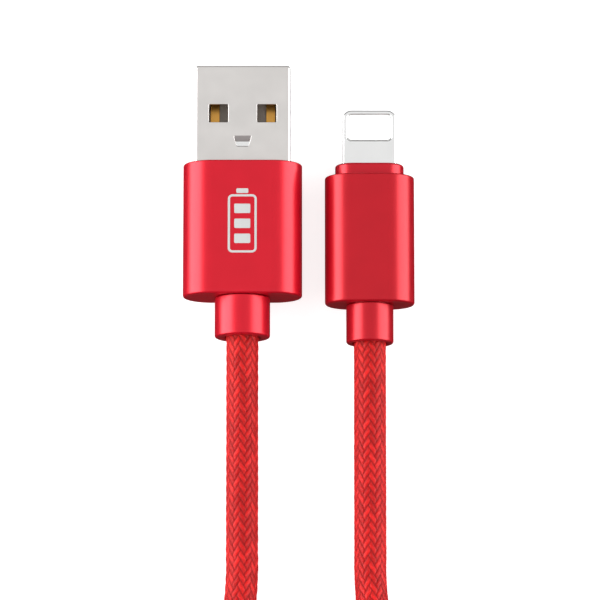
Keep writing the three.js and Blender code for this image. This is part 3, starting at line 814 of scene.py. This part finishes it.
def seam_maps(before, after, pick):
    few = min(before, after)
    width = BRAID["columns"] / few
    maps = []
    for k in range(few):
        fine = [(k * width + step * width / 2, pick) for step in range(3)]
        corners = fine + [((k + 1) * width, pick), (k * width, pick)]
        maps += corners if before > after else corners[::-1]
    return maps


def make_tie(material):
    """The hook-and-loop strap round the hank's waist, with its end lapped over itself on top."""
    thick, corner = TIE["thickness"], TIE["corner"]
    middle_y = HANK["top"] - HANK["run"] / 2
    low, high = TIE["low"], TIE["high"] - 0.5
    reach, rise = TIE["half_width"] - corner, (high - low) / 2 - corner
    centre_z = (low + high) / 2
    line = [(x, high) for x in np.linspace(LAP["under_end"], reach, 8, endpoint=False)]
    for x, z, start in ((reach, rise, 90), (reach, -rise, 0), (-reach, -rise, -90), (-reach, rise, -180)):
        for turn in np.radians(np.linspace(start, start - 90, 9)):
            line.append((x + corner * math.cos(turn), centre_z + z + corner * math.sin(turn)))
    line += [(x, high) for x in np.linspace(-reach, LAP["start"], 6)[1:]]
    lap = np.linspace(LAP["start"], LAP["end"], 24)[1:]
    climb = np.clip((lap - LAP["start"]) / LAP["climb"], 0, 1)
    line += [(x, high + (thick + 0.08) * (c * c * (3 - 2 * c))) for x, c in zip(lap, climb)]
    line = np.array(line)
    along = np.gradient(line, axis=0)
    along /= np.linalg.norm(along, axis=1)[:, None]
    outward = np.stack([-along[:, 1], along[:, 0]], axis=1)
    section = outline(TIE["width"], thick, thick * 0.45, arc=4)
    flat = drawn_in(section, 0)
    rings = []
    for number, ((x, z), out) in enumerate(zip(line, outward)):
        left = np.linalg.norm(line[-1] - [x, z]) if number > len(line) - 12 else TIE["width"]
        narrow = math.sqrt(max(0.03, 1 - max(0.0, 1 - left / (TIE["width"] / 2)) ** 2))
        wide, deep = flat[:, 0] * narrow, flat[:, 1] - thick / 2
        rings.append(np.stack([HANK["x"] + x + deep * out[0], middle_y + wide, z + deep * out[1]], axis=1))
    around = len(flat)
    faces = band_faces(len(rings), around, closed=False).tolist()
    faces.append(list(range(around))[::-1])
    faces.append(list(range((len(rings) - 1) * around, len(rings) * around)))
    return add_piece("hank_strap", np.concatenate(rings), faces, material, ["hank_tie"])


# ---------------------------------------------------------------- stage
CEILING, ENDS, UNDERSIDE = 0.86, 0.18, 0.03
LEFT_BOX, RIGHT_BOX = 6.8, 5.4
FLOOR_GLOW = 0.75
FLOOR_REACH = 12.0  # metres from its middle to each side


def make_floor():
    """A pale, faintly glowing sheet of paper that metal doesn't mirror."""
    mesh = bpy.data.meshes.new("floor")
    half = FLOOR_REACH
    corners = [(-half, -half, 0), (half, -half, 0), (half, half, 0), (-half, half, 0)]
    mesh.from_pydata(corners, [], [(0, 1, 2, 3)])
    floor = bpy.data.objects.new("floor", mesh)
    floor.visible_glossy = False
    paper = Shader("floor_paper", (0.5, 0.5, 0.5), 0.9, Specular_IOR_Level=0.1, Emission_Strength=FLOOR_GLOW)
    paper.surface.inputs["Emission Color"].default_value = (1, 1, 1, 1)
    mesh.materials.append(paper.material)
    bpy.context.scene.collection.objects.link(floor)


def make_studio():
    """A bright ceiling, a long softbox on each side, and dim ends and underside. The studio is the world, by
    direction. What the camera itself sees of it is plain white."""
    world = bpy.data.worlds.new("studio")
    world.use_nodes = True
    bpy.context.scene.world = world
    studio = Nodes(world.node_tree)
    background = studio.tree.nodes["Background"]
    background.inputs["Color"].default_value = (1, 1, 1, 1)
    way = studio.node("SeparateXYZ", {0: studio.node("TexCoord").outputs["Generated"]})
    x, y, z = (way.outputs[k] for k in range(3))

    def fade(value, start, end):
        """0 before start and 1 after end."""
        inputs = {"Value": value, "From Min": start, "From Max": end}
        return studio.node("MapRange", inputs, interpolation_type="SMOOTHSTEP").outputs["Result"]

    def fade_out(value, start, end):
        return studio.math("SUBTRACT", 1.0, fade(value, start, end))

    lean = studio.math("ARCTAN2", studio.math("ABSOLUTE", x), z)
    ceiling = fade_out(studio.math("ARCCOSINE", z), math.radians(34), math.radians(58))
    below_ceiling = fade(lean, math.radians(36), math.radians(50))
    above_floor = fade_out(lean, math.radians(92), math.radians(106))
    height = studio.math("MULTIPLY", below_ceiling, above_floor)
    box = studio.math("MULTIPLY", height, fade_out(studio.math("ABSOLUTE", y), 0.4, 0.64))
    power = studio.ranged(fade(x, -0.05, 0.05), LEFT_BOX, RIGHT_BOX)
    dim = studio.ranged(fade(z, -0.06, 0.06), UNDERSIDE, ENDS)
    base = studio.math("ADD", dim, studio.math("MULTIPLY", ceiling, CEILING - ENDS))
    light = studio.math("ADD", base, studio.math("MULTIPLY", box, power))
    seen = studio.node("LightPath").outputs["Is Camera Ray"]
    strength = studio.node("Mix", data_type="FLOAT")
    for socket, value in ((0, seen), (2, light), (3, 1.0)):
        studio.feed(strength.inputs[socket], value)
    studio.feed(background.inputs["Strength"], strength.outputs[0])


# ---------------------------------------------------------------- the object
def finish_cad_nodes(finishes):
    """Gives each CAD node that stays in view, and each one inside, its material."""
    for name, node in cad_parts.items():
        for start, material in finishes:
            if name.startswith(start):
                node.data.materials.clear()
                node.data.materials.append(material)
                break


WIRE_COLOURS = {
    "power": (0.5, 0.02, 0.02),
    "data_minus": (0.8, 0.8, 0.8),
    "data_plus": (0.02, 0.25, 0.06),
    "ground": (0.012, 0.012, 0.014),
}


def dress_inner_pieces():
    gold = gold_plate()
    finishes = [
        ("usb_contact", gold),
        ("pin_contact", gold),
        ("usb_insulator", moulded_plastic("grey_plastic", (0.34, 0.29, 0.25))),
        ("pin_insulator", moulded_plastic("white_plastic", (0.8, 0.8, 0.79))),
        ("usb_inner_mould", moulded_plastic("red_core", (0.5, 0.01, 0.02))),
        ("pin_circuit_board", moulded_plastic("solder_mask", (0.01, 0.09, 0.035), 0.35)),
        ("pin_chip", moulded_plastic("chip_epoxy", (0.02, 0.02, 0.022))),
    ]
    for core, colour in WIRE_COLOURS.items():
        sleeve = moulded_plastic(f"{core}_sleeve", colour)
        finishes += [(f"{plug}_wire_{core}", sleeve) for plug in ("usb", "pin")]
    finish_cad_nodes(finishes)


def make_usb_plug():
    metal = anodised_aluminium("red_anodised_broad", (0.5, 0.002, 0.014))
    make_usb_shell(nickel_steel("nickel_steel", (0.7, 0.675, 0.655)))
    # The lance's slope gets a darker copy of the nickel as painted shade, and its tail bright polished metal
    # as a painted highlight.
    make_lance(nickel_steel("lance_painted_shade_steel", (0.36, 0.33, 0.325)), polished_metal("lance_painted_highlight_metal"))
    make_housing("usb_housing_case", "usb_housing", USB_HOUSING, USB_AXIS, USB_COLLAR["neck"], metal)
    make_collar("usb_collar_turned", "usb_collar", USB_COLLAR, USB_AXIS, metal)
    make_pictogram(pale_paint())


def make_pin_plug():
    metal = anodised_aluminium("red_anodised_slim", (0.4, 0.001, 0.009))
    make_tab(polished_metal("polished_metal"))
    make_nose(anodised_aluminium("red_moulding", (0.42, 0.002, 0.012)))
    make_housing("pin_housing_case", "pin_housing", PIN_HOUSING, PIN_AXIS, PIN_COLLAR["neck"], metal)
    make_collar("pin_collar_turned", "pin_collar", PIN_COLLAR, PIN_AXIS, metal)


make_camera()
cord, route = make_cord(braided_nylon())
tie = make_tie(hook_and_loop())
dress_inner_pieces()
make_usb_plug()
make_pin_plug()
make_floor()
make_studio()
bpy.context.scene.view_settings.view_transform = "Standard"
